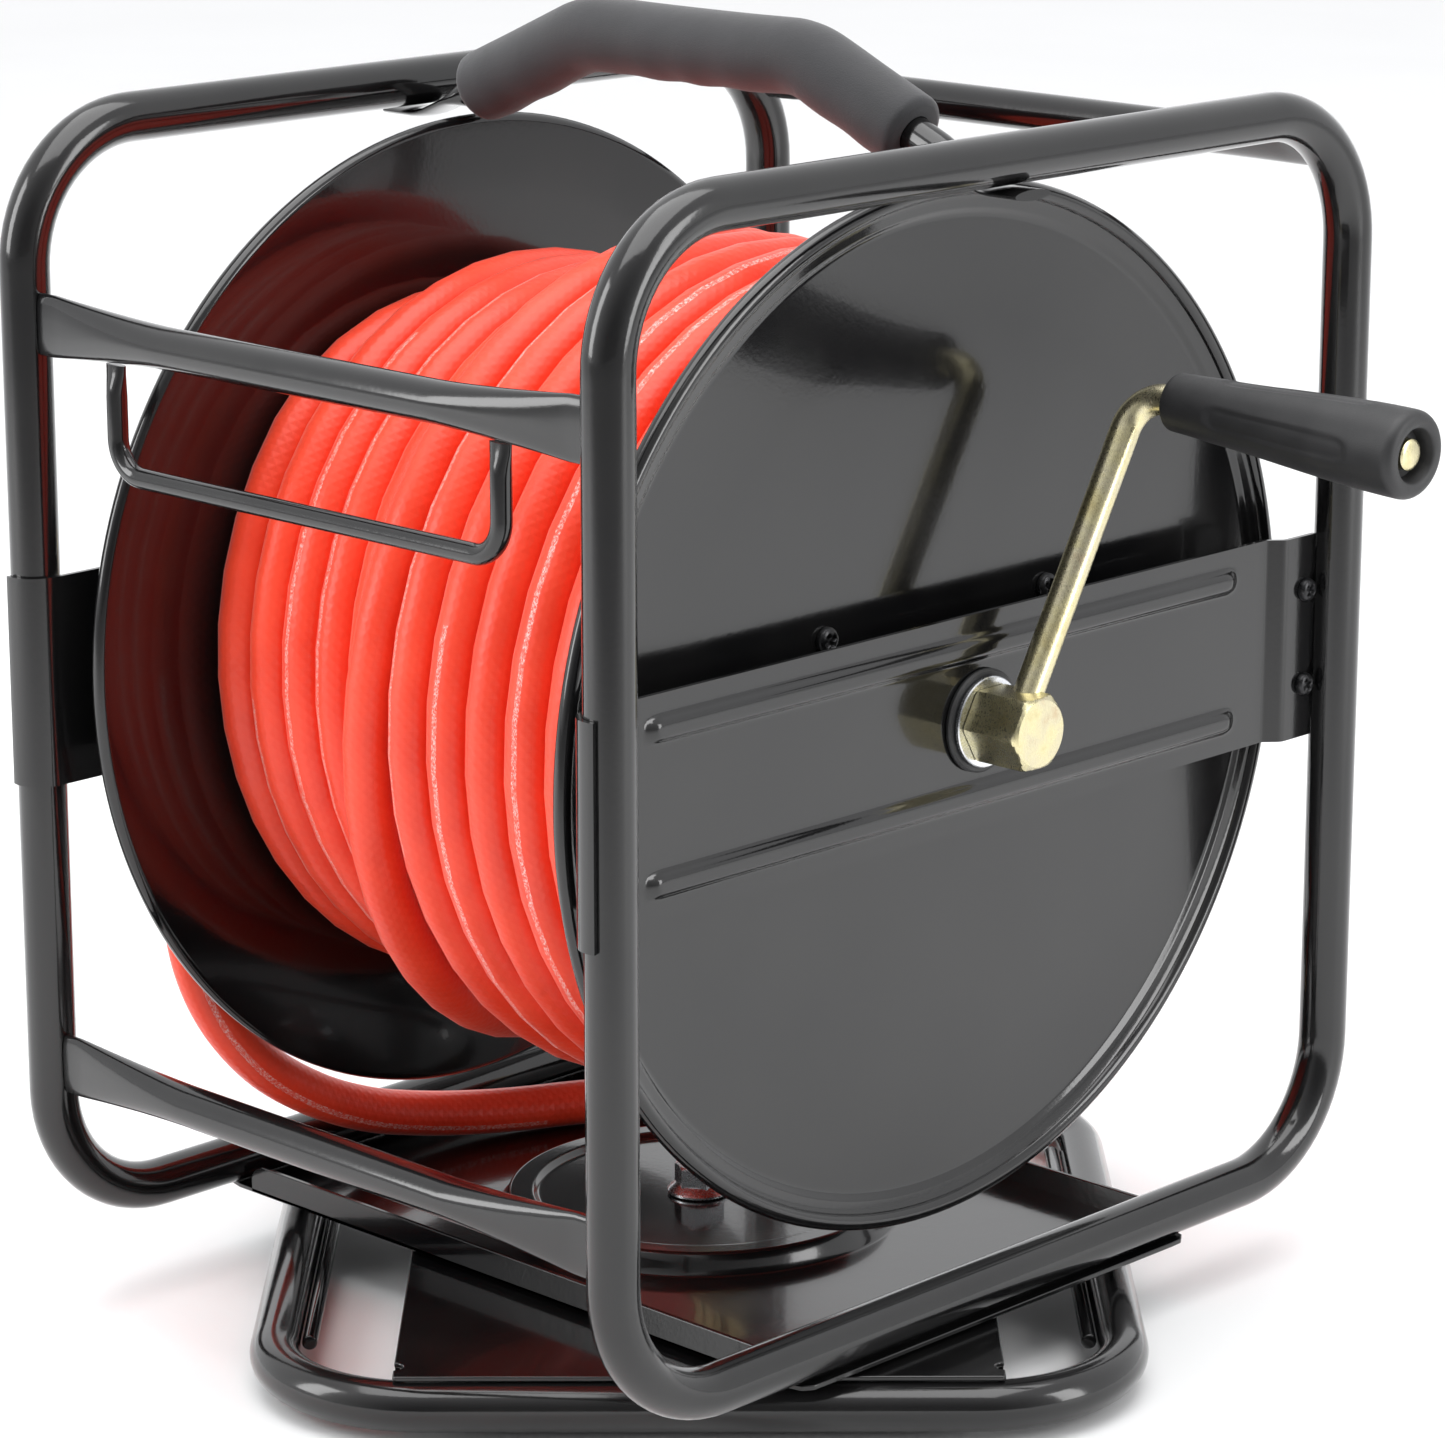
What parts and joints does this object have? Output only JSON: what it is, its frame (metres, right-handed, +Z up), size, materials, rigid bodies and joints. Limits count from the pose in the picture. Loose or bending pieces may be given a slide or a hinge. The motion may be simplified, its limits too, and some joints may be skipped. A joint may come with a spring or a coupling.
{
  "type": "hose reel",
  "caption": "Free-standing hand-cranked hose reel: a tubular steel cage on a swivelling floor frame carries a drum wound with red air hose.",
  "frame": {"origin": "on the floor, on the axis about which the cage swivels on its base", "axes": "+Z up; +X along the drum's axle towards the crank; -Y to the front, where the hose is drawn out through the guide"},
  "size_m": [0.5205, 0.4448, 0.5159],
  "materials": {
    "black_paint": "gloss",
    "black_plastic": "matte",
    "foam": "matte foam",
    "hose_red": "satin",
    "yellow_zinc": "yellow zinc plate",
    "bright_zinc": "bright zinc plate",
    "black_steel": "black oxide",
    "rubber": "matte",
    "brass": "satin"
  },
  "bodies": {
    "base": {"base_loop": "black_paint", "pedestal_plate": "black_paint", "base_side_rod_left": "black_paint", "base_side_rod_right": "black_paint", "foot_front_left": "rubber", "foot_front_right": "rubber", "foot_rear_left": "rubber", "foot_rear_right": "rubber", "bearing_lower_race": "bright_zinc", "bearing_ball_ring": "bright_zinc", "pivot_bolt": "bright_zinc", "pivot_nut": "bright_zinc"},
    "cage": {"crank_side_loop": "black_paint", "crank_bracket": "black_paint", "crank_mounting_lug": "black_paint", "crank_axle_bush": "black_plastic", "crank_bracket_screw_1": "black_steel", "crank_bracket_screw_2": "black_steel", "inlet_side_loop": "black_paint", "inlet_bracket": "black_paint", "inlet_mounting_lug": "black_paint", "inlet_axle_bush": "black_plastic", "inlet_bracket_screw_1": "black_steel", "inlet_bracket_screw_2": "black_steel", "front_upper_bar": "black_paint", "front_lower_bar": "black_paint", "rear_upper_bar": "black_paint", "hose_guide_rod": "black_paint", "handle_bar": "black_paint", "handle_foam_grip": "foam", "deck_plate": "black_paint", "bearing_upper_race": "bright_zinc", "inlet_union": "brass", "lead_hose_ferrule": "brass", "lead_hose": "hose_red", "lead_hose_plug": "brass"},
    "drum": {"hub_washer": "bright_zinc", "crank_flange": "black_paint", "crank_flange_screw_1": "black_steel", "crank_flange_screw_2": "black_steel", "crank_flange_screw_3": "black_steel", "crank_flange_screw_4": "black_steel", "inlet_retaining_washer": "bright_zinc", "inlet_flange": "black_paint", "inlet_flange_screw_1": "black_steel", "inlet_flange_screw_2": "black_steel", "inlet_flange_screw_3": "black_steel", "inlet_flange_screw_4": "black_steel", "drum_core": "black_paint", "axle": "bright_zinc", "outlet_pipe": "brass", "crank_hub": "yellow_zinc", "crank_rod": "yellow_zinc", "hose_coil": "hose_red", "hose_coupling": "brass"},
    "grip": {"crank_grip": "black_plastic"}
  },
  "joints": [
    {"name": "cage_swivel", "type": "hinge", "parent": "base", "child": "cage", "pos_m": [0, 0, 0], "axis": [0, 0, 1], "continuous": true},
    {"name": "drum_spin", "type": "hinge", "parent": "cage", "child": "drum", "pos_m": [0, 0, 0.2615], "axis": [1, 0, 0], "continuous": true},
    {"name": "grip_spin", "type": "hinge", "parent": "drum", "child": "grip", "pos_m": [0.19577, 0.06735, 0.37815], "axis": [0.999, -0.0218, -0.0378], "continuous": true}
  ]
}
